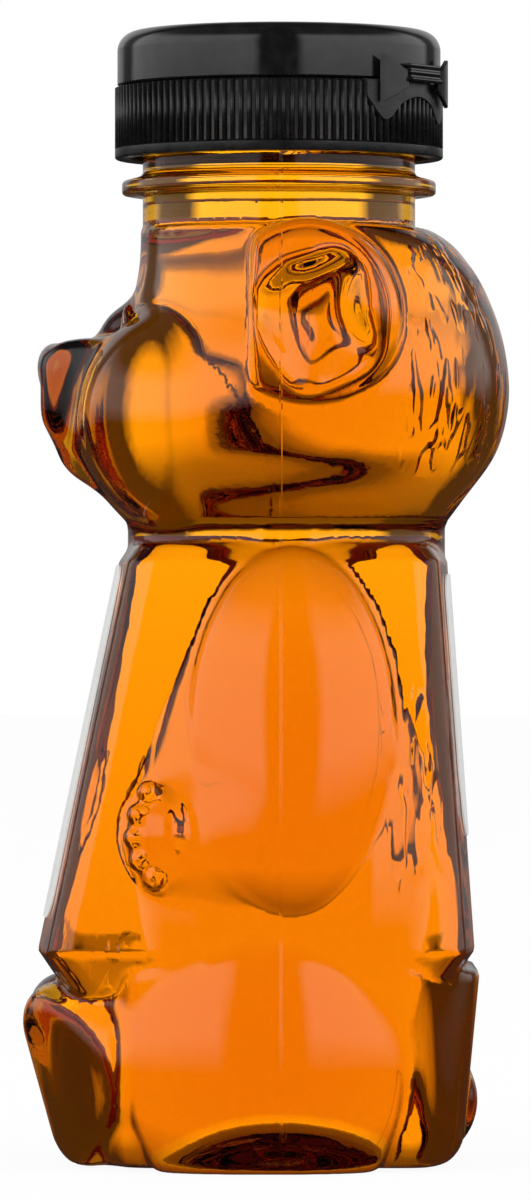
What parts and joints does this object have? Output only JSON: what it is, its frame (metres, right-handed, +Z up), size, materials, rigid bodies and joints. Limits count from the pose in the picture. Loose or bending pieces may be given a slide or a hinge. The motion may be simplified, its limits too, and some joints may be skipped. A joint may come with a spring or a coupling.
{
  "type": "honey bear bottle",
  "caption": "Clear squeeze bottle moulded as a seated bear and filled with honey, with a threaded flip-top closure and plain labels.",
  "frame": {"origin": "on the neck's axis, in the plane of the base that the bottle stands on", "axes": "+Z up along the neck's axis, the bear looks along -Y, +X is the bear's left side"},
  "size_m": [0.0588, 0.0591, 0.1381],
  "materials": {
    "bottle": "clear, glossy",
    "honey_fill": "clear amber liquid",
    "label": "white film",
    "foil_seal": "bright foil",
    "closure": "moulded black"
  },
  "bodies": {
    "bottle": {"bottle": "bottle", "honey_fill": "honey_fill", "front_label": "label", "back_label": "label"},
    "seal": {"foil_seal": "foil_seal"},
    "cap": {"cap_base": "closure", "wing_lower_left": "closure", "wing_lower_right": "closure"},
    "lid": {"flip_lid": "closure", "hinge_strap": "closure", "wing_upper_left": "closure", "wing_upper_right": "closure"}
  },
  "joints": [
    {"name": "seal_lift", "type": "slide", "parent": "bottle", "child": "seal", "axis": [0, 0, 1], "range_m": [0, 0.0128]},
    {"name": "cap_turn", "type": "hinge", "parent": "seal", "child": "cap", "pos_m": [0, 0, 0.12], "axis": [0, 0, 1], "range_deg": [0, 1080]},
    {"name": "lid_hinge", "type": "hinge", "parent": "cap", "child": "lid", "pos_m": [0.01149, 0.0177, 0.13098], "axis": [-0.8387, 0.5446, 0], "range_deg": [0, 165]}
  ],
  "couplings": [
    {"joint": "seal_lift", "follows": "cap_turn", "m_per_rad": 0.00067375}
  ]
}
